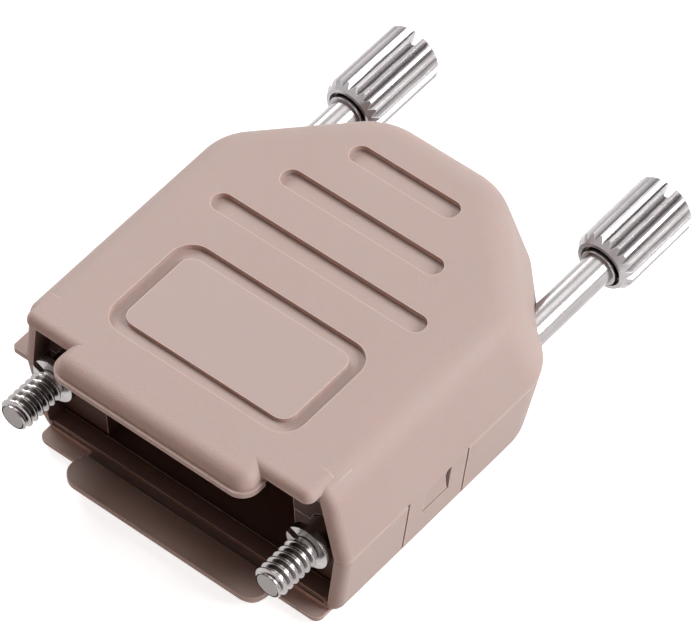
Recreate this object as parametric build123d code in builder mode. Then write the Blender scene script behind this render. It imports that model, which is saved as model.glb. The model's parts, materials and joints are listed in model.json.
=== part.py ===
"""Nine-way D-sub hood: two moulded half shells, captive jack screws and a cable clamp."""

from build123d import *
from math import sqrt
import os

os.makedirs("parts", exist_ok=True)

# Frame: X across the hood, Y from the mating face towards the cable, Z up.
# The origin lies between the jack screws, on the front face of the connector's flange.
# The shells meet on Z = 0, and the jack screws' axes lie on that plane.

# Hood outline at the parting plane, and how far it has drawn in at the flat faces
screw_spacing = 25.0
half_height = 7.75
side_margin = 3.4
side_draft = 1.27
parting_back = 33.0
back_draft = 1.33
parting_back_half = 6.75
back_half_draft = 1.35
side_corner_radius = 5.0
back_corner_radius = 6.0
wall = 1.1
skin = 1.3
face_edge_radius = 2.6
side_front_radius = 0.8
seam_bevel = 0.12

# Mating end: centre tongue, side lips and the slot for the connector's flange
flange_thickness = 0.8
flange_height = 12.55
flange_clearance = 0.15
tongue_reach = 2.5
plate_edge_radius = 1.3
lip_reach = 0.5
lip_width = 4.4
lip_inset = 0.73
lip_depth = 0.9
lip_edge_radius = 0.75
land_depth = 1.75
land_end = 2.4
bead_height = 0.5
bead_depth = 0.22

# Label recess and finger grooves
label_centre = 7.7
label_margin = 5.43
label_length = 10.1
label_corner_radius = 2.0
label_depth = 0.5
moat_width = 1.17
plateau_corner_radius = 1.1
plateau_drop = 0.08
groove_width = 1.8
groove_depth = 0.55
groove_setback = 16.15
groove_pitch = 5.0
groove_half_lengths = (10.3, 7.75, 5.2)

# Snap latch on the right side
latch_centre = 11.45
latch_width = 6.6
latch_slit = 0.22
latch_depth = 6.9
latch_thickness = 1.0
latch_clearance = 0.1
leaf_thickness = 0.9
leaf_overlap = 0.8
window_width = 3.0
window_top = 0.2
window_height = 3.0
catch_clearance = 0.17
catch_sink = 0.06
catch_ramp = 0.14

# Folded strip along the left parting line
strip_reach = 1.1
strip_thickness = 0.28
strip_start = 0.9
strip_setback = 10.5
strip_corner_radius = 0.35

# Jack screws, thumb knobs and their retaining clips
thread_radius = 1.38
thread_reach = 4.0
thread_end = 0.1
tip_chamfer = 0.3
neck_radius = 1.1
shank_radius = 1.3
screw_running_gap = 0.08
clip_start = 0.4
clip_thickness = 0.6
clip_radius = 1.95
clip_seat_radius = 1.0
clip_gap = 0.9
clip_gap_angle = 153.0
clip_running_gap = 0.05
knob_gap = 1.5
knob_length = 8.1
knob_radius = 2.6
knob_nose = 0.7
knob_nose_radius = 2.15
knob_end_chamfer = 0.25
knob_recess_radius = 1.85
knob_recess_depth = 0.45
spigot_radius = 1.05
spigot_length = 5.6
collar_radius = 1.6
collar_length = 0.3
flute_count = 20
flute_depth = 0.3
flute_width = 0.64
slot_width = 0.8
slot_depth = 1.15
slot_angle = 75.0

# Screw guides inside the hood
guide_start = 2.6
guide_thickness = 1.4
guide_reach = 3.1

# Cable entry and strain relief
cable_radius = 4.0
clamp_setback = 7.0
clamp_length = 4.0
clamp_thickness = 0.8
clamp_gap = 0.1
boss_radius = 2.0
boss_margin = 0.1
saddle_thickness = 0.9
saddle_pitch = 2.6
clamp_screw_radius = 1.15
clamp_screw_clearance = 0.05
clamp_screw_length = 5.0
clamp_head_radius = 1.9
clamp_head_height = 1.5
clamp_recess_width = 0.5
clamp_recess_depth = 0.8

# Sizes that follow from the ones above
screw_x = screw_spacing / 2
parting_half_width = screw_x + side_margin
face_half_width = parting_half_width - side_draft
face_back = parting_back - back_draft
face_back_half = parting_back_half - back_half_draft
lip_half_width = face_half_width - lip_inset
tongue_half_width = lip_half_width - lip_width
label_width = 2 * (face_half_width - label_margin)
groove_start = parting_back - groove_setback
strip_end = parting_back - strip_setback
side_front = flange_thickness
tongue_front = -tongue_reach
lip_front = -lip_reach
inner_height = half_height - skin
land_height = half_height - land_depth
wall_middle = wall / 2
past_back = parting_back + wall
knob_front = parting_back + knob_gap
knob_end = knob_front + knob_length
spigot_start = knob_front + knob_recess_depth
guide_radius = shank_radius + screw_running_gap
guide_inner = screw_x - guide_reach
clip_end = clip_start + clip_thickness
pocket_inset = latch_thickness + latch_clearance
leaf_inset = pocket_inset + leaf_thickness
clamp_centre = parting_back - clamp_setback
boss_top = -clamp_thickness
arch_radius = cable_radius + clamp_gap
boss_spacing = 2 * (arch_radius + clamp_thickness + clamp_head_radius + boss_margin)
clamp_foot_end = boss_spacing / 2 + boss_radius + boss_margin


def drafted(at_parting, at_face, height):
    """Return a size that narrows evenly from the parting plane to the flat faces, at one height."""
    return at_parting + (at_face - at_parting) * abs(height) / half_height


def wall_x(height):
    """Return how far out the side wall's outer face stands at one height."""
    return drafted(parting_half_width, face_half_width, height)


def hood_block(inset, top, front, bevel=0.0):
    """Return the drafted form of the hood from the parting plane to a height, moved inwards by inset."""
    back_low = parting_back - inset
    back_high = drafted(parting_back, face_back, top) - inset
    slant_low = (parting_back + parting_back_half) / sqrt(2) - inset
    slant_high = drafted(parting_back + parting_back_half, face_back + face_back_half, top) / sqrt(2) - inset
    with BuildPart() as block:
        # Side walls
        with BuildSketch(Plane.XZ.offset(-front)):
            with BuildLine():
                Polyline(
                    (inset - wall_x(0), 0),
                    (wall_x(0) - inset, 0),
                    (wall_x(top) - inset, top),
                    (inset - wall_x(top), top),
                    close=True,
                )
            make_face()
        extrude(amount=-2 * parting_back)
        # Back wall
        with BuildSketch(Plane.YZ):
            with BuildLine():
                Polyline((front, 0), (back_low, 0), (back_high, top), (front, top), close=True)
            make_face()
        extrude(amount=parting_back, both=True, mode=Mode.INTERSECT)
        # Slanted walls at the rear corners
        for side in (-1, 1):
            with BuildSketch(Plane(origin=(0, 0, 0), x_dir=(side, 1, 0), z_dir=(1, -side, 0))):
                with BuildLine():
                    Polyline(
                        (-parting_back, 0),
                        (slant_low, 0),
                        (slant_high, top),
                        (-parting_back, top),
                        close=True,
                    )
                make_face()
            extrude(amount=2 * parting_back, both=True, mode=Mode.INTERSECT)
        fillet(block.edges().group_by(Axis.Z)[1].sort_by(Axis.Y)[-2:], back_corner_radius - inset)
        fillet(block.edges().group_by(Axis.Z)[1].sort_by(Axis.Y)[2:4], side_corner_radius - inset / 2)
        if bevel:
            chamfer(block.edges().group_by(Axis.Z)[0].sort_by(Axis.Y)[1:], bevel)
    return block.part


def front_slab(half_width, front, depth, radius):
    """Return a slab of the mating end's face plate, with its outer front and side edges rounded."""
    with BuildPart() as slab:
        with BuildSketch(Plane.XY.offset(half_height - depth)):
            with Locations((0, front)):
                Rectangle(2 * half_width, land_end - front, align=(Align.CENTER, Align.MIN))
        extrude(amount=depth)
        rounded = slab.edges().group_by(Axis.Z)[-1].sort_by(Axis.Y)[:-1]
        corners = slab.edges().filter_by(Axis.Z).group_by(Axis.Y)[0]
        fillet(rounded + corners, radius)
    return slab.part


def side_slice(outer, inner, width, low):
    """Return the right side wall between two insets, below the parting plane and about the latch's centre."""
    with BuildPart() as piece:
        add(hood_block(outer, half_height, side_front).mirror(Plane.XY))
        add(hood_block(inner, half_height, side_front).mirror(Plane.XY), mode=Mode.SUBTRACT)
        with BuildSketch(Plane.XY):
            with Locations((parting_half_width, latch_centre)):
                Rectangle(parting_half_width, width)
        extrude(amount=-low, mode=Mode.INTERSECT)
    return piece.part


# Outer form of the hood above the parting plane
with BuildPart() as outer_form:
    add(hood_block(0, half_height, side_front, seam_bevel))
    fillet(outer_form.edges().group_by(Axis.Z)[-1].sort_by(Axis.Y)[1:], face_edge_radius)
    fillet(outer_form.edges().group_by(Axis.Y)[0].sort_by(Axis.Z)[1:], side_front_radius)

# Tongue, side lips and the lands that hold the connector's flange
with BuildPart() as front_plate:
    add(front_slab(lip_half_width, lip_front, lip_depth, lip_edge_radius))
    add(front_slab(tongue_half_width, tongue_front, land_depth, plate_edge_radius))
    # Bead round the tongue's lower edge
    with BuildSketch(Plane.XY.offset(land_height)) as bead_plan:
        with Locations((0, tongue_front - bead_depth)):
            Rectangle(
                2 * (tongue_half_width + bead_depth),
                tongue_reach + bead_depth - lip_reach,
                align=(Align.CENTER, Align.MIN),
            )
        fillet(bead_plan.vertices().group_by(Axis.Y)[0], plate_edge_radius + bead_depth)
    extrude(amount=bead_height)

# Cross ribs that guide the jack screws
with BuildPart() as screw_guides:
    add(hood_block(wall_middle, half_height - skin / 2, side_front))
    with BuildSketch(Plane.XZ.offset(-guide_start)):
        for edge_side, anchor in ((-1, Align.MAX), (1, Align.MIN)):
            with Locations((edge_side * guide_inner, 0)):
                Rectangle(parting_half_width, half_height, align=(anchor, Align.MIN))
    extrude(amount=-guide_thickness, mode=Mode.INTERSECT)

# Form that both half shells share
with BuildPart() as half_shell:
    add(outer_form.part)
    add(front_plate.part)
    # Cavity, open at the mating end
    add(hood_block(wall, land_height, tongue_front - wall), mode=Mode.SUBTRACT)
    add(hood_block(wall, inner_height, land_end), mode=Mode.SUBTRACT)
    # Slot for the connector's flange
    with BuildSketch(Plane.XY):
        Rectangle(2 * parting_half_width, flange_thickness, align=(Align.CENTER, Align.MIN))
        Rectangle(
            2 * (face_half_width - wall), flange_thickness + flange_clearance, align=(Align.CENTER, Align.MIN)
        )
    extrude(amount=flange_height / 2 + flange_clearance, mode=Mode.SUBTRACT)
    add(screw_guides.part)
    # Channels for the jack screws, and the cable entry
    with BuildSketch(Plane.XZ.offset(-side_front)):
        with Locations((-screw_x, 0), (screw_x, 0)):
            Circle(guide_radius)
    extrude(amount=-past_back, mode=Mode.SUBTRACT)
    with BuildSketch(Plane.XZ.offset(-past_back)):
        Circle(cable_radius)
    extrude(amount=past_back - clamp_centre - clamp_length, mode=Mode.SUBTRACT)
    # One half of the folded strip along the left parting line
    with BuildSketch(Plane.XY) as strip_plan:
        with Locations((-parting_half_width - strip_reach, (strip_start + strip_end) / 2)):
            Rectangle(strip_reach + wall_middle, strip_end - strip_start, align=(Align.MIN, Align.CENTER))
        fillet(strip_plan.vertices().group_by(Axis.X)[0], strip_corner_radius)
    extrude(amount=strip_thickness)

# Tab of the top shell that comes down over the bottom shell and holds its catch
with BuildPart() as latch_tab:
    add(outer_form.part.mirror(Plane.XY))
    add(hood_block(latch_thickness, half_height, side_front).mirror(Plane.XY), mode=Mode.SUBTRACT)
    with BuildSketch(Plane.XY):
        with Locations((parting_half_width, latch_centre)):
            Rectangle(parting_half_width, latch_width)
    extrude(amount=-latch_depth, mode=Mode.INTERSECT)
    # The bevel along the parting line stops at the tab
    add(side_slice(0, latch_thickness, latch_width, seam_bevel))
    add(side_slice(0, latch_thickness, latch_width, seam_bevel).mirror(Plane.XY))
    with BuildSketch(Plane.XY.offset(-window_top)):
        with Locations((parting_half_width, latch_centre)):
            Rectangle(parting_half_width, window_width)
    extrude(amount=-window_height, mode=Mode.SUBTRACT)

with BuildPart() as top_shell:
    add(half_shell.part)
    add(latch_tab.part)
    # Label recess: a moat round a plateau that lies just under the face
    with BuildSketch(Plane.XY.offset(half_height)):
        with Locations((0, label_centre)):
            RectangleRounded(label_width, label_length, label_corner_radius)
    extrude(amount=-plateau_drop, mode=Mode.SUBTRACT)
    with BuildSketch(Plane.XY.offset(half_height)):
        with Locations((0, label_centre)):
            RectangleRounded(label_width, label_length, label_corner_radius)
            RectangleRounded(
                label_width - 2 * moat_width,
                label_length - 2 * moat_width,
                plateau_corner_radius,
                mode=Mode.SUBTRACT,
            )
    extrude(amount=-label_depth, mode=Mode.SUBTRACT)
    # Finger grooves
    with BuildSketch(Plane.XY.offset(half_height)):
        for row, half_length in enumerate(groove_half_lengths):
            with Locations((0, groove_start + row * groove_pitch)):
                SlotOverall(2 * half_length, groove_width)
    extrude(amount=-groove_depth, mode=Mode.SUBTRACT)

# Catch with a ramp, over which the tab springs when the shells are closed
catch_high = -window_top - catch_clearance
catch_low = catch_clearance - window_top - window_height
with BuildPart() as catch:
    with BuildSketch(Plane.XZ.offset(-(latch_centre - window_width / 2 + catch_clearance))):
        with BuildLine():
            Polyline(
                (wall_x(catch_high) - leaf_inset + leaf_thickness / 2, catch_high),
                (wall_x(catch_high) - catch_sink - catch_ramp, catch_high),
                (wall_x(catch_low) - catch_sink, (catch_high + catch_low) / 2),
                (wall_x(catch_low) - catch_sink, catch_low),
                (wall_x(catch_low) - leaf_inset + leaf_thickness / 2, catch_low),
                close=True,
            )
        make_face()
    extrude(amount=-(window_width - 2 * catch_clearance))

boss_places = Locations((-boss_spacing / 2, clamp_centre), (boss_spacing / 2, clamp_centre))

with BuildPart() as bottom_shell:
    add(half_shell.part.mirror(Plane.XY))
    # Pocket for the latch tab, backed by a leaf that carries the catch
    pocket_width = latch_width + 2 * latch_slit
    add(side_slice(-wall, pocket_inset, pocket_width, latch_depth + latch_slit), mode=Mode.SUBTRACT)
    add(side_slice(pocket_inset, leaf_inset, pocket_width + 2 * leaf_overlap, half_height - skin / 2))
    add(catch.part)
    # Bosses for the cable clamp's screws, joined by the saddles that carry the cable
    with BuildSketch(Plane.XY.offset(-half_height + skin / 2)):
        with boss_places:
            Circle(boss_radius)
        for saddle_y in (clamp_centre - saddle_pitch / 2, clamp_centre + saddle_pitch / 2):
            with Locations((0, saddle_y)):
                Rectangle(boss_spacing, saddle_thickness)
    extrude(amount=half_height - skin / 2 + boss_top)
    with BuildSketch(Plane.XZ.offset(-(clamp_centre - clamp_length / 2))):
        Circle(cable_radius)
    extrude(amount=-clamp_length, mode=Mode.SUBTRACT)
    with BuildSketch(Plane.XY.offset(boss_top)):
        with boss_places:
            Circle(clamp_screw_radius + clamp_screw_clearance)
    extrude(amount=-clamp_screw_length - clamp_screw_clearance, mode=Mode.SUBTRACT)

with BuildPart() as cable_clamp:
    with BuildSketch(Plane.XZ.offset(-(clamp_centre - clamp_length / 2))) as strap:
        Circle(arch_radius + clamp_thickness)
        with Locations((0, boss_top)):
            Rectangle(2 * clamp_foot_end, clamp_thickness, align=(Align.CENTER, Align.MIN))
        Circle(arch_radius, mode=Mode.SUBTRACT)
        with Locations((0, boss_top)):
            Rectangle(4 * arch_radius, 2 * arch_radius, align=(Align.CENTER, Align.MAX), mode=Mode.SUBTRACT)
    extrude(amount=-clamp_length)
    with BuildSketch(Plane.XY.offset(boss_top)):
        with boss_places:
            Circle(clamp_screw_radius + clamp_screw_clearance)
    extrude(amount=clamp_thickness, mode=Mode.SUBTRACT)

# Clamp screw, jack screw, knob and clip of the right side; the left side's stand across the hood
with BuildPart() as clamp_screw:
    with BuildSketch(Plane.XY):
        with Locations((boss_spacing / 2, clamp_centre)):
            Circle(clamp_head_radius)
    extrude(amount=clamp_head_height)
    with BuildSketch(Plane.XY):
        with Locations((boss_spacing / 2, clamp_centre)):
            Circle(clamp_screw_radius)
    extrude(amount=boss_top - clamp_screw_length)
    with BuildSketch(Plane.XY.offset(clamp_head_height)):
        with Locations((boss_spacing / 2, clamp_centre)):
            Rectangle(2 * clamp_head_radius, clamp_recess_width)
    extrude(amount=-clamp_recess_depth, mode=Mode.SUBTRACT)

with BuildPart() as jack_screw:
    with BuildSketch(Plane.XY):
        with BuildLine():
            Polyline(
                (screw_x, -thread_reach),
                (screw_x + thread_radius - tip_chamfer, -thread_reach),
                (screw_x + thread_radius, tip_chamfer - thread_reach),
                (screw_x + thread_radius, thread_end),
                (screw_x + neck_radius, thread_end),
                (screw_x + neck_radius, clip_start - clip_running_gap),
                (screw_x + clip_seat_radius, clip_start - clip_running_gap),
                (screw_x + clip_seat_radius, clip_end + clip_running_gap),
                (screw_x + shank_radius, clip_end + clip_running_gap),
                (screw_x + shank_radius, knob_front - collar_length),
                (screw_x + collar_radius, knob_front - collar_length),
                (screw_x + collar_radius, spigot_start),
                (screw_x + spigot_radius, spigot_start),
                (screw_x + spigot_radius, spigot_start + spigot_length),
                (screw_x, spigot_start + spigot_length),
                close=True,
            )
        make_face()
    revolve(axis=Axis((screw_x, 0, 0), (0, 1, 0)))

with BuildPart() as thumb_knob:
    # Section with the flutes, turned down to a cone at the front and a chamfer at the end
    with BuildSketch(Plane.XZ.offset(-knob_front)):
        with Locations((screw_x, 0)):
            Circle(knob_radius)
            with PolarLocations(knob_radius, flute_count):
                Polygon(
                    (flute_depth, flute_width),
                    (-flute_depth, 0),
                    (flute_depth, -flute_width),
                    align=None,
                    mode=Mode.SUBTRACT,
                )
    extrude(amount=-knob_length)
    with BuildSketch(Plane.XY):
        with BuildLine():
            Polyline(
                (screw_x, knob_front),
                (screw_x + knob_nose_radius, knob_front),
                (screw_x + knob_radius, knob_front + knob_nose),
                (screw_x + knob_radius, knob_end - knob_end_chamfer),
                (screw_x + knob_radius - knob_end_chamfer, knob_end),
                (screw_x, knob_end),
                close=True,
            )
        make_face()
    revolve(axis=Axis((screw_x, 0, 0), (0, 1, 0)), mode=Mode.INTERSECT)
    # Recess round the collar, bore for the spigot, and the screwdriver slot
    with BuildSketch(Plane.XZ.offset(-knob_front)):
        with Locations((screw_x, 0)):
            Circle(knob_recess_radius)
    extrude(amount=-knob_recess_depth, mode=Mode.SUBTRACT)
    with BuildSketch(Plane.XZ.offset(-spigot_start)):
        with Locations((screw_x, 0)):
            Circle(spigot_radius)
    extrude(amount=-spigot_length, mode=Mode.SUBTRACT)
    with BuildSketch(Plane.XZ.offset(-knob_end)):
        with Locations((screw_x, 0)):
            Rectangle(3 * knob_radius, slot_width, rotation=slot_angle)
    extrude(amount=slot_depth, mode=Mode.SUBTRACT)

with BuildPart() as retaining_clip:
    with BuildSketch(Plane.XZ.offset(-clip_start)):
        with Locations((screw_x, 0)):
            Circle(clip_radius)
            Circle(clip_seat_radius + clip_running_gap, mode=Mode.SUBTRACT)
            Rectangle(
                2 * clip_radius,
                clip_gap,
                rotation=clip_gap_angle,
                align=(Align.MIN, Align.CENTER),
                mode=Mode.SUBTRACT,
            )
    extrude(amount=-clip_thickness)

for name, piece in (("top_shell", top_shell), ("bottom_shell", bottom_shell), ("cable_clamp", cable_clamp)):
    piece.part.label = name
    export_step(piece.part, f"parts/{name}.step")

paired = (
    ("clamp_screw", clamp_screw, boss_spacing),
    ("jack_screw", jack_screw, screw_spacing),
    ("thumb_knob", thumb_knob, screw_spacing),
    ("retaining_clip", retaining_clip, screw_spacing),
)
for name, piece, spacing in paired:
    left = piece.part.moved(Location((-spacing, 0, 0)))
    for side, solid in (("right", piece.part), ("left", left)):
        solid.label = f"{name}_{side}"
        export_step(solid, f"parts/{name}_{side}.step")
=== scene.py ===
"""Studio scene of a moulded D-sub hood with two jack screws, as a catalogue photograph shows it."""

import json
import logging
import math
from collections.abc import Iterable
from dataclasses import dataclass, field
from enum import Enum

import bmesh
import bpy
from mathutils import Matrix, Vector

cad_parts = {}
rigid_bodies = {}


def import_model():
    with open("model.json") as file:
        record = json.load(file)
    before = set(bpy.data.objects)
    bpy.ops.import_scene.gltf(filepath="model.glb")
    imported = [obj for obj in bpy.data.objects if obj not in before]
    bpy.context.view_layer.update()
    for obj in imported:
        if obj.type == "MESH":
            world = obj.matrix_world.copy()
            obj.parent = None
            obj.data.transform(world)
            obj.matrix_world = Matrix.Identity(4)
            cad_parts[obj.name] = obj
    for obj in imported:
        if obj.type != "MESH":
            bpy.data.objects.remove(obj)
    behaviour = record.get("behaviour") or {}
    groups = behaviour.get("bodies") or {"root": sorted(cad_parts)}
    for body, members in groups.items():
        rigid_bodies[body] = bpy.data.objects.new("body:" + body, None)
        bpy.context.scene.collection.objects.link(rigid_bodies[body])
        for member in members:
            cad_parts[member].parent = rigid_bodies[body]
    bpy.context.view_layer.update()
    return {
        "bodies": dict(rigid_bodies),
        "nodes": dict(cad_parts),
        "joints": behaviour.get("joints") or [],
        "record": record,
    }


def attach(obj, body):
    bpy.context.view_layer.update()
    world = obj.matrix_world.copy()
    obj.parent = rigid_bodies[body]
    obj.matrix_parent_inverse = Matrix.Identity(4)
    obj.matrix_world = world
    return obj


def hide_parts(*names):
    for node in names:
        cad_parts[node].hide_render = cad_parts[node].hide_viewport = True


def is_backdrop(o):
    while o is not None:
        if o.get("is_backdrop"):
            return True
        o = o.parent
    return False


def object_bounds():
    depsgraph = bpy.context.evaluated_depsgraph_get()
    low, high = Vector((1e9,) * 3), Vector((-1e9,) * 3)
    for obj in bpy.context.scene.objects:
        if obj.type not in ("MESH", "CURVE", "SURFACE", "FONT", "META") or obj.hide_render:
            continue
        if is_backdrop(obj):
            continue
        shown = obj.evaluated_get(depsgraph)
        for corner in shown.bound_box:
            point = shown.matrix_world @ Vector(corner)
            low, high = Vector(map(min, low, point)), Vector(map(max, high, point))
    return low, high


MM = 0.001
IMAGE_WIDTH = 696
# A Mix node's colour sockets share their names with its others, so they are taken by number
MIX_LOWER, MIX_UPPER, MIX_RESULT = 6, 7, 2
MERGE_DISTANCE_M = 1e-7

Point = tuple[float, float, float]
Face = tuple[int, ...]

log = logging.getLogger("d_sub_hood")


def linear(code: str) -> tuple[float, float, float, float]:
    """Turn an sRGB colour into the linear one that shaders read.

    Args:
        code: The colour as a hex code, such as "#C8B2A8".

    Returns:
        Linear red, green and blue, and an alpha of 1.
    """
    channels = [int(code[i : i + 2], 16) / 255 for i in (1, 3, 5)]
    # The sRGB standard's curve: a short straight toe, and a power above it
    red, green, blue = (c / 12.92 if c <= 0.04045 else ((c + 0.055) / 1.055) ** 2.4 for c in channels)
    return red, green, blue, 1.0


def per_metre(size_mm: float) -> float:
    """Return a texture's scale for features of a real size in millimetres."""
    return 1.0 / (size_mm * MM)


def add_node(
    tree: bpy.types.NodeTree,
    kind: str,
    settings: dict | None = None,
    inputs: dict | None = None,
) -> bpy.types.Node:
    """Add a node with its settings and its inputs.

    Args:
        tree: The material's or the world's node tree.
        kind: Blender's name of the node type.
        settings: Properties of the node itself.
        inputs: Socket name or number, and the value or the output socket that feeds it.

    Returns:
        The new node.
    """
    node = tree.nodes.new(kind)
    for name, value in (settings or {}).items():
        setattr(node, name, value)
    for name, value in (inputs or {}).items():
        if isinstance(value, bpy.types.NodeSocket):
            tree.links.new(value, node.inputs[name])
        else:
            node.inputs[name].default_value = value
    return node


def new_material(name: str) -> tuple[bpy.types.Material, bpy.types.NodeTree]:
    """Make a material with an empty node tree.

    Args:
        name: The finish's own name.

    Returns:
        The material and its node tree.
    """
    material = bpy.data.materials.new(name)
    material.use_nodes = True
    material.node_tree.nodes.clear()
    return material, material.node_tree


def narrow_mask(
    tree: bpy.types.NodeTree,
    mask: bpy.types.NodeSocket | float,
    limits: Iterable[tuple[bpy.types.NodeSocket, float]],
) -> bpy.types.NodeSocket | float:
    """Narrow a mask to where each measure stays below its limit.

    Args:
        tree: The material's node tree.
        mask: The mask so far, or 1 for everywhere.
        limits: Measures in metres, each with its upper limit in millimetres.

    Returns:
        The narrowed mask.
    """
    for measure, limit_mm in limits:
        below = add_node(tree, "ShaderNodeMath", {"operation": "LESS_THAN"}, {0: measure, 1: limit_mm * MM})
        pair = {0: mask, 1: below.outputs[0]}
        mask = add_node(tree, "ShaderNodeMath", {"operation": "MULTIPLY"}, pair).outputs[0]
    return mask


def layer_colours(
    tree: bpy.types.NodeTree,
    base: str,
    layers: Iterable[tuple[bpy.types.NodeSocket, str]],
) -> bpy.types.NodeSocket:
    """Lay colours over a base, each where its mask is 1.

    Args:
        tree: The material's node tree.
        base: The base colour's hex code.
        layers: Masks with the hex codes of their colours, from the lowest layer up.

    Returns:
        The mixed colour.
    """
    colour = linear(base)
    for mask, code in layers:
        mix = add_node(
            tree,
            "ShaderNodeMix",
            {"data_type": "RGBA"},
            {0: mask, MIX_LOWER: colour, MIX_UPPER: linear(code)},
        )
        colour = mix.outputs[MIX_RESULT]
    return colour


def dress(piece: bpy.types.Object, material: bpy.types.Material) -> None:
    """Give a piece one material in all of its slots.

    Args:
        piece: The object to dress.
        material: Its finish.
    """
    if not piece.material_slots:
        piece.data.materials.append(material)
    for slot in piece.material_slots:
        slot.material = material


def add_object(name: str, data: bpy.types.ID) -> bpy.types.Object:
    """Add an object to the scene.

    Args:
        name: The object's name.
        data: Its mesh, lamp or camera.

    Returns:
        The new object.
    """
    thing = bpy.data.objects.new(name, data)
    bpy.context.scene.collection.objects.link(thing)
    return thing


def add_sheet(name: str, corners: list[Vector]) -> bpy.types.Object:
    """Add a flat sheet.

    Args:
        name: The sheet's name.
        corners: Its four corners in order, in metres.

    Returns:
        The sheet's object.
    """
    mesh = bpy.data.meshes.new(name)
    mesh.from_pydata(corners, [], [(0, 1, 2, 3)])
    return add_object(name, mesh)


def view_axes(azimuth: float, elevation: float) -> tuple[Vector, Vector]:
    """Turn a viewing angle into directions.

    Args:
        azimuth: Degrees round the hood, from the mating end towards the right side.
        elevation: Degrees above the table.

    Returns:
        Unit vectors from the hood to the viewer, and level to the viewer's right.
    """
    a, e = math.radians(azimuth), math.radians(elevation)
    back = Vector((math.sin(a) * math.cos(e), -math.cos(a) * math.cos(e), math.sin(e)))
    return back, Vector((math.cos(a), math.sin(a), 0.0))


def on_circle(radius: float, y: float, turn: float) -> Point:
    """Return the point at a share of a turn round the Y axis."""
    angle = 2 * math.pi * turn
    return radius * math.cos(angle), y, -radius * math.sin(angle)


def merge_doubles(piece: bpy.types.Object) -> None:
    """Merge the points that a shape's rings share, and turn its faces outwards.

    Args:
        piece: The object whose mesh is cleaned.
    """
    work = bmesh.new()
    work.from_mesh(piece.data)
    bmesh.ops.remove_doubles(work, verts=work.verts, dist=MERGE_DISTANCE_M)
    bmesh.ops.dissolve_degenerate(work, edges=work.edges, dist=MERGE_DISTANCE_M)
    bmesh.ops.recalc_face_normals(work, faces=work.faces)
    work.to_mesh(piece.data)
    work.free()


def smooth_by_angle(piece: bpy.types.Object, degrees: float) -> None:
    """Shade a piece smoothly, but keep its edges sharper than an angle."""
    piece.data.shade_smooth()
    piece.data.set_sharp_from_angle(angle=math.radians(degrees))


class Side(Enum):
    """The hood's two jack screws, by the side that they stand on."""

    LEFT = "left"
    RIGHT = "right"

    @property
    def sign(self) -> int:
        """Return the side's direction along X."""
        return 1 if self is Side.RIGHT else -1


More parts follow.
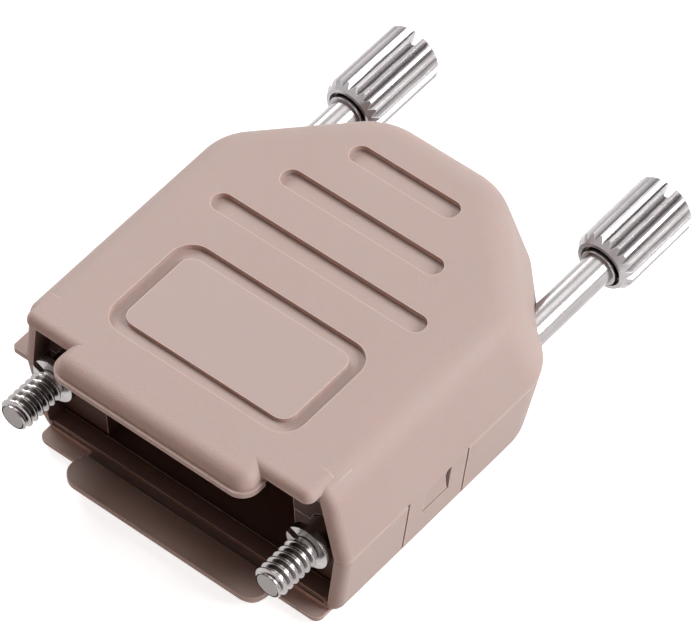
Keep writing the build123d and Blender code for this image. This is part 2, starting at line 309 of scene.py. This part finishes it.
@dataclass(frozen=True)
class SparkErodedAbs:
    """Moulded ABS from a spark-eroded mould: a dry, even grain that breaks up every highlight."""

    colour: str = "#BBA6A0"
    flow_colour: str = "#B8A29B"
    panel_colour: str = "#BAA5A0"
    # Painted shade for the inside of the cavity
    cavity_shade_colour: str = "#50382E"
    # A painted highlight along the outer edges
    edge_highlight_colour: str = "#DCC9C0"
    roughness: float = 0.6
    panel_roughness: float = 0.55
    ior: float = 1.53
    specular: float = 0.4
    # Light enters the plastic and comes back warm, because red goes furthest
    scatter_share: float = 0.35
    scatter_mm: float = 0.5
    scatter_by_colour: Point = (1.0, 0.38, 0.22)
    # Craters as the spark leaves them, drawn two pixels wide so that they show
    grain_mm: float = 0.16
    grain_depth_mm: float = 0.03
    grain_detail: float = 3.0
    grain_roughness: float = 0.6
    panel_grain_share: float = 0.15
    # Clouds of slightly warmer colour, as the flowing melt leaves them
    flow_mm: float = 9.0
    flow_detail: float = 2.0
    # An edge's painted highlight, a paler line: its reach, and the cosines of the skin's turn where it
    # starts and is full
    edge_mm: float = 0.12
    edge_turn: tuple[float, float] = (0.995, 0.9)
    # How far round an edge is looked for walls, and how open it lies where its line starts and is full
    hollow_mm: float = 0.4
    edge_opening: tuple[float, float] = (0.7, 0.95)
    ray_samples: int = 6
    # The drafted cavity, where painted shade browns the inside: half its width and height, its walls' lean,
    # where it starts and its end in Y
    cavity_half_mm: tuple[float, float] = (14.83, 6.5)
    cavity_draft: float = 0.164
    cavity_fade_mm: tuple[float, float] = (-2.2, 2.2)
    cavity_end_mm: float = 21.0
    # The label panel's top face, as a thin box
    panel_centre_mm: Point = (0.0, 7.7, 7.67)
    panel_half_mm: Point = (8.03, 3.88, 0.05)

    def panel_mask(
        self, tree: bpy.types.NodeTree, place: bpy.types.NodeSocket
    ) -> bpy.types.NodeSocket | float:
        """Mark the label panel, which is polished smooth inside its moat.

        Args:
            tree: The material's node tree.
            place: The shaded point, in the hood's frame.

        Returns:
            1 on the panel and 0 outside its outline.
        """
        centre = tuple(v * MM for v in self.panel_centre_mm)
        offset = add_node(tree, "ShaderNodeVectorMath", {"operation": "SUBTRACT"}, {0: place, 1: centre})
        span = add_node(tree, "ShaderNodeVectorMath", {"operation": "ABSOLUTE"}, {0: offset.outputs[0]})
        axes = add_node(tree, "ShaderNodeSeparateXYZ", inputs={0: span.outputs[0]})
        return narrow_mask(tree, 1.0, zip(axes.outputs, self.panel_half_mm))

    def cavity_shade_mask(
        self, tree: bpy.types.NodeTree, place: bpy.types.NodeSocket
    ) -> bpy.types.NodeSocket | float:
        """Mark the drafted cavity, whose inside is painted a darker brown as shade.

        Args:
            tree: The material's node tree.
            place: The shaded point, in the hood's frame.

        Returns:
            1 inside, 0 outside, and a fade between them behind the opening.
        """
        apart = add_node(tree, "ShaderNodeVectorMath", {"operation": "ABSOLUTE"}, {0: place})
        lean = {0: apart.outputs[0], 1: (1.0, 0.0, self.cavity_draft)}
        across = add_node(tree, "ShaderNodeVectorMath", {"operation": "DOT_PRODUCT"}, lean)
        heights = add_node(tree, "ShaderNodeSeparateXYZ", inputs={0: apart.outputs[0]})
        reach = add_node(tree, "ShaderNodeSeparateXYZ", inputs={0: place})
        start, full = (y * MM for y in self.cavity_fade_mm)
        fade = add_node(
            tree,
            "ShaderNodeMapRange",
            inputs={"Value": reach.outputs["Y"], "From Min": start, "From Max": full},
        )
        limits = (
            (across.outputs["Value"], self.cavity_half_mm[0]),
            (heights.outputs["Z"], self.cavity_half_mm[1]),
            (reach.outputs["Y"], self.cavity_end_mm),
        )
        return narrow_mask(tree, fade.outputs[0], limits)

    def edge_highlight_mask(self, tree: bpy.types.NodeTree) -> bpy.types.NodeSocket | float:
        """Mark the outer edges, where a paler line is painted in as a highlight. Inner corners get no line.

        Args:
            tree: The material's node tree.

        Returns:
            1 along the outer edges, and 0 on the faces and in the corners.
        """
        reach = {"Radius": self.edge_mm * MM}
        rounded = add_node(tree, "ShaderNodeBevel", {"samples": self.ray_samples}, reach)
        shape = add_node(tree, "ShaderNodeNewGeometry")
        along = add_node(
            tree,
            "ShaderNodeVectorMath",
            {"operation": "DOT_PRODUCT"},
            {0: rounded.outputs[0], 1: shape.outputs["Normal"]},
        )
        opening = add_node(
            tree,
            "ShaderNodeAmbientOcclusion",
            {"samples": self.ray_samples, "only_local": True},
            {"Distance": self.hollow_mm * MM},
        )
        mask: bpy.types.NodeSocket | float = 1.0
        for measure, (start, full) in (
            (along.outputs["Value"], self.edge_turn),
            (opening.outputs["AO"], self.edge_opening),
        ):
            limits = {"Value": measure, "From Min": start, "From Max": full}
            share = add_node(tree, "ShaderNodeMapRange", inputs=limits)
            pair = {0: mask, 1: share.outputs[0]}
            mask = add_node(tree, "ShaderNodeMath", {"operation": "MULTIPLY"}, pair).outputs[0]
        return mask

    def build(self) -> bpy.types.Material:
        """Build the moulded skin.

        Returns:
            The material.
        """
        material, tree = new_material("abs_spark_eroded")
        place = add_node(tree, "ShaderNodeTexCoord").outputs["Object"]
        craters = add_node(
            tree,
            "ShaderNodeTexNoise",
            inputs={
                "Vector": place,
                "Scale": per_metre(self.grain_mm),
                "Detail": self.grain_detail,
                "Roughness": self.grain_roughness,
            },
        )
        flow = add_node(
            tree,
            "ShaderNodeTexNoise",
            inputs={"Vector": place, "Scale": per_metre(self.flow_mm), "Detail": self.flow_detail},
        )
        panel = self.panel_mask(tree, place)
        layers = (
            (flow.outputs["Fac"], self.flow_colour),
            (panel, self.panel_colour),
            # Painted shade browns the cavity
            (self.cavity_shade_mask(tree, place), self.cavity_shade_colour),
            # Painted highlights pale the outer edges
            (self.edge_highlight_mask(tree), self.edge_highlight_colour),
        )
        roughness = add_node(
            tree,
            "ShaderNodeMapRange",
            inputs={"Value": panel, "To Min": self.roughness, "To Max": self.panel_roughness},
        )
        grain = add_node(
            tree,
            "ShaderNodeMapRange",
            inputs={"Value": panel, "To Min": 1.0, "To Max": self.panel_grain_share},
        )
        bump = add_node(
            tree,
            "ShaderNodeBump",
            inputs={
                "Height": craters.outputs["Fac"],
                "Distance": self.grain_depth_mm * MM,
                "Strength": grain.outputs[0],
            },
        )
        shader = add_node(
            tree,
            "ShaderNodeBsdfPrincipled",
            inputs={
                "Base Color": layer_colours(tree, self.colour, layers),
                "Roughness": roughness.outputs[0],
                "IOR": self.ior,
                "Specular IOR Level": self.specular,
                "Subsurface Weight": self.scatter_share,
                "Subsurface Radius": self.scatter_by_colour,
                "Subsurface Scale": self.scatter_mm * MM,
                "Normal": bump.outputs[0],
            },
        )
        add_node(tree, "ShaderNodeOutputMaterial", inputs={"Surface": shader.outputs[0]})
        return material


@dataclass(frozen=True)
class NickelPlatedSteel:
    """Turned steel under bright nickel: long streaked highlights, and fine tool marks round the axis."""

    name: str = "steel_nickel_plated"
    colour: str = "#B1AEAE"
    stain_colour: str = "#979191"
    cut_colour: str = "#7E7876"
    # Painted shade, laid into the roots and flutes
    hollow_shade_colour: str = "#8C8886"
    roughness: float = 0.18
    worn_roughness: float = 0.28
    # The feed of a fine cut along Y, and how the marks are drawn out round it. It is just under a pixel
    # of the photograph, so it softens the highlights and shows no lines
    tool_mark_mm: float = 0.06
    tool_mark_depth_mm: float = 0.0005
    tool_mark_stretch: Point = (0.06, 1.0, 0.06)
    tool_mark_detail: float = 2.0
    # Patches of duller plating, and the part of their pattern over which the roughness rises
    stain_mm: float = 1.6
    stain_detail: float = 4.0
    stain_range: tuple[float, float] = (0.3, 0.7)
    # Painted shade in hollows: how far walls are looked for, and how open an unshaded and a fully shaded
    # place lie
    hollow_mm: float = 0.35
    hollow_opening: tuple[float, float] = (0.95, 0.45)
    hollow_samples: int = 16
    # Plating rounds each edge by this radius
    edge_mm: float = 0.04
    edge_samples: int = 6
    # The screw's cut tip lies in front of this plane in Y
    cut_end_mm: float = -3.99

    def surface_colour(
        self,
        tree: bpy.types.NodeTree,
        place: bpy.types.NodeSocket,
        stain: bpy.types.NodeSocket,
    ) -> bpy.types.NodeSocket:
        """Lay stains, the bare cut end and painted shade in the hollows over the plating.

        Args:
            tree: The material's node tree.
            place: The shaded point, in the hood's frame.
            stain: The pattern of duller patches.

        Returns:
            The surface's colour.
        """
        # The screw's cut end carries no plating
        axes = add_node(tree, "ShaderNodeSeparateXYZ", inputs={0: place})
        cut = narrow_mask(tree, 1.0, [(axes.outputs["Y"], self.cut_end_mm)])
        # Painted shade darkens the roots and flutes, and draws them as dark lines
        opening = add_node(
            tree,
            "ShaderNodeAmbientOcclusion",
            {"samples": self.hollow_samples, "only_local": True},
            {"Distance": self.hollow_mm * MM},
        )
        unshaded, fully_shaded = self.hollow_opening
        hollow_shade = add_node(
            tree,
            "ShaderNodeMapRange",
            inputs={"Value": opening.outputs["AO"], "From Min": unshaded, "From Max": fully_shaded},
        )
        layers = (
            (stain, self.stain_colour),
            (cut, self.cut_colour),
            (hollow_shade.outputs[0], self.hollow_shade_colour),
        )
        return layer_colours(tree, self.colour, layers)

    def surface_normal(
        self, tree: bpy.types.NodeTree, place: bpy.types.NodeSocket
    ) -> bpy.types.NodeSocket:
        """Cut tool marks round the Y axis, as the lathe leaves them, into softened edges.

        Args:
            tree: The material's node tree.
            place: The shaded point, in the hood's frame.

        Returns:
            The bent normal, which gives each crest its own glint.
        """
        drawn_out = add_node(
            tree, "ShaderNodeMapping", inputs={"Vector": place, "Scale": self.tool_mark_stretch}
        )
        marks = add_node(
            tree,
            "ShaderNodeTexNoise",
            inputs={
                "Vector": drawn_out.outputs[0],
                "Scale": per_metre(self.tool_mark_mm),
                "Detail": self.tool_mark_detail,
            },
        )
        edge = add_node(
            tree, "ShaderNodeBevel", {"samples": self.edge_samples}, {"Radius": self.edge_mm * MM}
        )
        bump = add_node(
            tree,
            "ShaderNodeBump",
            inputs={
                "Height": marks.outputs["Fac"],
                "Distance": self.tool_mark_depth_mm * MM,
                "Strength": 1.0,
                "Normal": edge.outputs[0],
            },
        )
        return bump.outputs[0]

    def build(self) -> bpy.types.Material:
        """Build the plated metal.

        Returns:
            The material.
        """
        material, tree = new_material(self.name)
        place = add_node(tree, "ShaderNodeTexCoord").outputs["Object"]
        stain = add_node(
            tree,
            "ShaderNodeTexNoise",
            inputs={"Vector": place, "Scale": per_metre(self.stain_mm), "Detail": self.stain_detail},
        ).outputs["Fac"]
        bright, dull = self.stain_range
        roughness = add_node(
            tree,
            "ShaderNodeMapRange",
            inputs={
                "Value": stain,
                "From Min": bright,
                "From Max": dull,
                "To Min": self.roughness,
                "To Max": self.worn_roughness,
            },
        )
        shader = add_node(
            tree,
            "ShaderNodeBsdfPrincipled",
            inputs={
                "Base Color": self.surface_colour(tree, place, stain),
                "Metallic": 1.0,
                "Roughness": roughness.outputs[0],
                "Normal": self.surface_normal(tree, place),
            },
        )
        add_node(tree, "ShaderNodeOutputMaterial", inputs={"Surface": shader.outputs[0]})
        return material


@dataclass
class HoodShells:
    """The two moulded shells, kept as the frame's own solids."""

    finish: SparkErodedAbs = field(default_factory=SparkErodedAbs)
    nodes: tuple[str, ...] = ("top_shell", "bottom_shell")

    def build(self, frame: dict) -> list[bpy.types.Object]:
        """Give both shells the moulded finish.

        Args:
            frame: The loaded frame.

        Returns:
            The shells' objects.
        """
        material = self.finish.build()
        shells = [frame["nodes"][name] for name in self.nodes]
        for shell in shells:
            dress(shell, material)
        return shells


@dataclass
class JackScrew:
    """One jack screw: a rolled 4-40 thread, a neck, the clip's groove, the shank and the knob's collar.

    Lengths are in millimetres, and places lie along Y. The thread's flats are shares of its pitch, close
    to the standard's, and its flanks are part straight and part rounded. It runs out on a slope where the
    neck begins. The turned edges are chamfered by edge.
    """

    side: Side
    spacing: float = 25.0
    tip: float = -4.0
    thread_radius: float = 1.38
    root_radius: float = 0.98
    pitch: float = 0.635
    crest_flat: float = 0.16
    root_flat: float = 0.26
    flank_rounding: float = 0.35
    thread_end: float = 0.1
    run_out_slope: float = 1.6
    tip_chamfer: float = 0.3
    neck_radius: float = 1.1
    neck_overlap: float = 0.3
    groove_radius: float = 1.0
    groove: tuple[float, float] = (0.35, 1.05)
    shank_radius: float = 1.3
    shank_end: float = 34.2
    collar_radius: float = 1.6
    collar_end: float = 34.95
    edge: float = 0.06
    segments: int = 72
    steps_per_pitch: int = 14
    smooth_degrees: float = 35.0

    def thread_profile(self, share: float) -> float:
        """Return the thread's radius at one height of its turn.

        Args:
            share: The height as a share of the pitch.

        Returns:
            The radius, with a flat crest and root and a rolled thread's rounded flanks.
        """
        from_root = abs(share % 1.0 - 0.5) * 2
        rise = (from_root - self.root_flat) / (1 - self.crest_flat - self.root_flat)
        rise = min(1.0, max(0.0, rise))
        curve = rise * rise * (3 - 2 * rise)
        flank = curve * self.flank_rounding + rise * (1 - self.flank_rounding)
        return self.root_radius + (self.thread_radius - self.root_radius) * flank

    def thread_ring(self, row: int) -> list[Point]:
        """Return one sheared ring of the thread's skin.

        Args:
            row: The ring's number from the tip.

        Returns:
            The ring's points round the screw's axis.
        """
        pitches = row / self.steps_per_pitch
        profile = self.thread_profile(pitches)
        points = []
        for step in range(self.segments + 1):
            turn = step / self.segments
            y = self.tip + self.pitch * (pitches + turn - 1)
            y = min(max(y, self.tip), self.thread_end)
            chamfer = self.thread_radius - self.tip_chamfer + (y - self.tip)
            run_out = self.neck_radius + (self.thread_end - y) * self.run_out_slope
            points.append(on_circle(min(profile, chamfer, run_out), y, turn))
        return points

    def ring(self, radius: float, y: float) -> list[Point]:
        """Return the points of one level ring round the screw's axis."""
        return [on_circle(radius, y, step / self.segments) for step in range(self.segments)]

    def turned_outline(self) -> list[tuple[float, float]]:
        """Draw the outline behind the thread.

        Returns:
            Radius and Y of each corner, from the neck to the knob's collar.
        """
        e = self.edge
        return [
            (0.0, self.thread_end - self.neck_overlap),
            (self.neck_radius, self.thread_end - self.neck_overlap),
            (self.neck_radius, self.groove[0] - e / 2),
            (self.neck_radius - e / 2, self.groove[0]),
            (self.groove_radius, self.groove[0]),
            (self.groove_radius, self.groove[1]),
            (self.shank_radius - e, self.groove[1]),
            (self.shank_radius, self.groove[1] + e),
            (self.shank_radius, self.shank_end),
            (self.collar_radius - e, self.shank_end),
            (self.collar_radius, self.shank_end + e),
            (self.collar_radius, self.collar_end),
            (0.0, self.collar_end),
        ]

    def add_thread(self, points: list[Point], faces: list[Face]) -> None:
        """Add the thread's skin.

        Args:
            points: The screw's points so far.
            faces: Its faces so far.
        """
        rows = round((self.thread_end - self.tip) / self.pitch + 1) * self.steps_per_pitch + 1
        width = self.segments + 1
        for row in range(rows):
            points.extend(self.thread_ring(row))
        for row in range(rows - 1):
            for step in range(self.segments):
                a = row * width + step
                faces.append((a, a + 1, a + 1 + width, a + width))

    def add_tip(self, points: list[Point], faces: list[Face]) -> None:
        """Close the tip with its flat end.

        Args:
            points: The screw's points so far.
            faces: Its faces so far.
        """
        centre = len(points)
        points.append((0.0, self.tip, 0.0))
        points.extend(self.ring(self.thread_radius - self.tip_chamfer, self.tip))
        for step in range(self.segments):
            faces.append((centre, centre + 1 + (step + 1) % self.segments, centre + 1 + step))

    def add_turned_part(self, points: list[Point], faces: list[Face]) -> None:
        """Add the neck, the groove, the shank and the collar as one lathe shape.

        Args:
            points: The screw's points so far.
            faces: Its faces so far.
        """
        start = len(points)
        outline = self.turned_outline()
        for radius, y in outline:
            points.extend(self.ring(radius, y))
        for first in range(start, start + (len(outline) - 1) * self.segments, self.segments):
            for step in range(self.segments):
                a = first + step
                b = first + (step + 1) % self.segments
                faces.append((a, b, b + self.segments, a + self.segments))

    def build(self, material: bpy.types.Material) -> bpy.types.Object:
        """Make the screw's mesh, dress it and let it ride on its body.

        Args:
            material: The screw's finish.

        Returns:
            The screw's object.
        """
        points: list[Point] = []
        faces: list[Face] = []
        self.add_thread(points, faces)
        self.add_tip(points, faces)
        self.add_turned_part(points, faces)
        x_axis = self.side.sign * self.spacing / 2
        name = f"screw_{self.side.value}"
        mesh = bpy.data.meshes.new(name)
        mesh.from_pydata([Vector((x + x_axis, y, z)) * MM for x, y, z in points], [], faces)
        mesh.validate()
        mesh.update()
        piece = add_object(name, mesh)
        merge_doubles(piece)
        smooth_by_angle(piece, self.smooth_degrees)
        dress(piece, material)
        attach(piece, f"screw_{self.side.value}")
        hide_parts(f"jack_screw_{self.side.value}")
        return piece


@dataclass
class Fastenings:
    """Both jack screws with their knobs and clips, and the cable clamp with its screws."""

    screw_finish: NickelPlatedSteel = field(default_factory=NickelPlatedSteel)
    knob_finish: NickelPlatedSteel = field(
        default_factory=lambda: NickelPlatedSteel(
            name="steel_nickel_fluted",
            colour="#BAB6B7",
            stain_colour="#989394",
            # A deeper painted shade in the flutes
            hollow_shade_colour="#383433",
            hollow_mm=0.5,
            worn_roughness=0.36,
        )
    )
    clip_finish: NickelPlatedSteel = field(
        default_factory=lambda: NickelPlatedSteel(
            name="steel_bright_clip", colour="#C9C7C4", roughness=0.24
        )
    )
    clamp_finish: NickelPlatedSteel = field(
        default_factory=lambda: NickelPlatedSteel(
            name="steel_zinc_plated",
            colour="#C4C4BE",
            stain_colour="#AEB0A8",
            roughness=0.34,
            worn_roughness=0.46,
        )
    )

    def build(self, frame: dict) -> list[bpy.types.Object]:
        """Build the screws and dress the metal nodes.

        Args:
            frame: The loaded frame.

        Returns:
            The objects of all fastenings.
        """
        screw, knob = self.screw_finish.build(), self.knob_finish.build()
        clip, clamp = self.clip_finish.build(), self.clamp_finish.build()
        pieces = []
        finishes = {"cable_clamp": clamp}
        for side in Side:
            pieces.append(JackScrew(side).build(screw))
            finishes[f"thumb_knob_{side.value}"] = knob
            finishes[f"retaining_clip_{side.value}"] = clip
            finishes[f"clamp_screw_{side.value}"] = clamp
        for name, finish in finishes.items():
            dress(frame["nodes"][name], finish)
            pieces.append(frame["nodes"][name])
        return pieces


@dataclass(frozen=True)
class PhotoCamera:
    """The photograph's camera: a long lens that looks down on the mating end. Angles are in degrees."""

    azimuth: float = 43.11
    elevation: float = 50.43
    roll: float = -3.63
    distance_mm: float = 451.7
    focal_px: float = 6012.0
    target_mm: Point = (0.47, 19.25, 0.0)
    sensor_mm: float = 36.0
    clip_m: tuple[float, float] = (0.01, 20.0)

    def place(self) -> bpy.types.Object:
        """Make the camera and set it in the scene.

        Returns:
            The camera's object.
        """
        back, level = view_axes(self.azimuth, self.elevation)
        upright = back.cross(level)
        r = math.radians(self.roll)
        right = level * math.cos(r) + upright * math.sin(r)
        up = upright * math.cos(r) - level * math.sin(r)
        data = bpy.data.cameras.new("photo_camera")
        data.sensor_width = self.sensor_mm
        data.lens = self.focal_px / IMAGE_WIDTH * self.sensor_mm
        data.clip_start, data.clip_end = self.clip_m
        camera = add_object("photo_camera", data)
        turn = Matrix((right, up, back)).transposed().to_4x4()
        where = (Vector(self.target_mm) + back * self.distance_mm) * MM
        camera.matrix_world = Matrix.Translation(where) @ turn
        bpy.context.scene.camera = camera
        return camera


@dataclass(frozen=True)
class SoftLamp:
    """One square softbox, aimed at the hood. Angles are in degrees."""

    name: str
    azimuth: float
    elevation: float
    watts: float
    distance_m: float = 0.6
    size_m: float = 0.3

    def place(self, target: Vector) -> bpy.types.Object:
        """Hang the lamp round a target point.

        Args:
            target: The point that the lamp is aimed at.

        Returns:
            The lamp's object.
        """
        back, _ = view_axes(self.azimuth, self.elevation)
        data = bpy.data.lights.new(self.name, "AREA")
        data.size = self.size_m
        data.energy = self.watts
        lamp = add_object(self.name, data)
        lamp.location = target + back * self.distance_m
        lamp.rotation_mode = "QUATERNION"
        lamp.rotation_quaternion = (-back).to_track_quat("-Z", "Y")
        return lamp


@dataclass(frozen=True)
class WarmCard:
    """One brown card on the table, which warms the hood's shade and darkens its reflections."""

    name: str
    azimuth: float
    distance_m: float
    width_m: float
    height_m: float
    colour: str = "#BE9580"

    def place(self, target: Vector, floor: float) -> bpy.types.Object:
        """Stand the card on the table.

        Args:
            target: The point that the card faces.
            floor: The table's height in metres.

        Returns:
            The card's object.
        """
        back, level = view_axes(self.azimuth, 0.0)
        across = level * self.width_m / 2
        foot = Vector((target.x, target.y, floor)) + back * self.distance_m
        top = foot + Vector((0.0, 0.0, self.height_m))
        card = add_sheet(self.name, [foot - across, foot + across, top + across, top - across])
        card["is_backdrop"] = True
        card.visible_camera = False
        material, tree = new_material(f"{self.name}_paper")
        paper = add_node(tree, "ShaderNodeBsdfDiffuse", inputs={"Color": linear(self.colour)})
        add_node(tree, "ShaderNodeOutputMaterial", inputs={"Surface": paper.outputs[0]})
        dress(card, material)
        return card


@dataclass
class Studio:
    """White table, pale surroundings, soft lamps and a warm card."""

    floor_half_m: float = 3.0
    floor_colour: str = "#CCCCCC"
    floor_lift: float = 0.82
    world_colour: str = "#FFFFFF"
    world_strength: float = 0.05
    lamps: tuple[SoftLamp, ...] = (
        SoftLamp("right_softbox", azimuth=113.0, elevation=31.0, watts=3.35),
        SoftLamp("left_softbox", azimuth=252.0, elevation=35.0, watts=2.15),
        SoftLamp("top_softbox", azimuth=180.0, elevation=74.0, watts=0.7),
    )
    card: WarmCard = WarmCard("front_card", azimuth=0.0, distance_m=0.35, width_m=0.7, height_m=0.4)

    def seen(self, tree: bpy.types.NodeTree) -> bpy.types.NodeSocket:
        """Tell the rays that show the background from the rays that light the hood.

        Args:
            tree: The material's or the world's node tree.

        Returns:
            1 for camera, glossy and transmission rays, and 0 for all others.
        """
        path = add_node(tree, "ShaderNodeLightPath")
        seen = path.outputs["Is Camera Ray"]
        for ray in ("Is Glossy Ray", "Is Transmission Ray"):
            pair = {0: seen, 1: path.outputs[ray]}
            seen = add_node(tree, "ShaderNodeMath", {"operation": "MAXIMUM"}, pair).outputs[0]
        return seen

    def build_floor(self, height: float) -> bpy.types.Object:
        """Lay the table under the hood. Where it is seen, it glows to a near white.

        Args:
            height: The table's height in metres.

        Returns:
            The table's object.
        """
        h = self.floor_half_m
        corners = [Vector((x, y, height)) for x, y in ((-h, -h), (h, -h), (h, h), (-h, h))]
        floor = add_sheet("table", corners)
        floor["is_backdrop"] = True
        material, tree = new_material("table_paper")
        paper = add_node(tree, "ShaderNodeBsdfDiffuse", inputs={"Color": linear(self.floor_colour)})
        lift = add_node(
            tree, "ShaderNodeMath", {"operation": "MULTIPLY"}, {0: self.seen(tree), 1: self.floor_lift}
        )
        glow = add_node(tree, "ShaderNodeEmission", inputs={"Strength": lift.outputs[0]})
        total = add_node(tree, "ShaderNodeAddShader", inputs={0: paper.outputs[0], 1: glow.outputs[0]})
        add_node(tree, "ShaderNodeOutputMaterial", inputs={"Surface": total.outputs[0]})
        dress(floor, material)
        return floor

    def build_world(self) -> None:
        """Surround the hood with pale walls that are white where they are seen."""
        world = bpy.data.worlds.new("pale_room")
        world.use_nodes = True
        bpy.context.scene.world = world
        tree = world.node_tree
        tree.nodes.clear()
        strength = add_node(
            tree,
            "ShaderNodeMapRange",
            inputs={"Value": self.seen(tree), "To Min": self.world_strength, "To Max": 1.0},
        )
        room = add_node(
            tree,
            "ShaderNodeBackground",
            inputs={"Color": linear(self.world_colour), "Strength": strength.outputs[0]},
        )
        add_node(tree, "ShaderNodeOutputWorld", inputs={"Surface": room.outputs[0]})

    def build(self, height: float, target: Vector) -> list[bpy.types.Object]:
        """Build the table, the room, the lamps and the card.

        Args:
            height: The table's height in metres.
            target: The point that the lamps are aimed at.

        Returns:
            The objects of the table, the lamps and the card.
        """
        floor = self.build_floor(height)
        self.build_world()
        lamps = [lamp.place(target) for lamp in self.lamps]
        card = self.card.place(target, height)
        bpy.context.scene.view_settings.view_transform = "Standard"
        return [floor, *lamps, card]


def main() -> None:
    """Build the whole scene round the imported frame, and report each piece."""
    logging.basicConfig(level=logging.INFO, format="%(name)s: %(message)s")
    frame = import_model()
    low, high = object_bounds()
    pieces = [PhotoCamera().place()]
    pieces += HoodShells().build(frame)
    pieces += Fastenings().build(frame)
    pieces += Studio().build(low.z, (low + high) / 2)
    for piece in pieces:
        log.info("%s is in place", piece.name)
    log.info("scene ready")


if __name__ == "__main__":
    main()
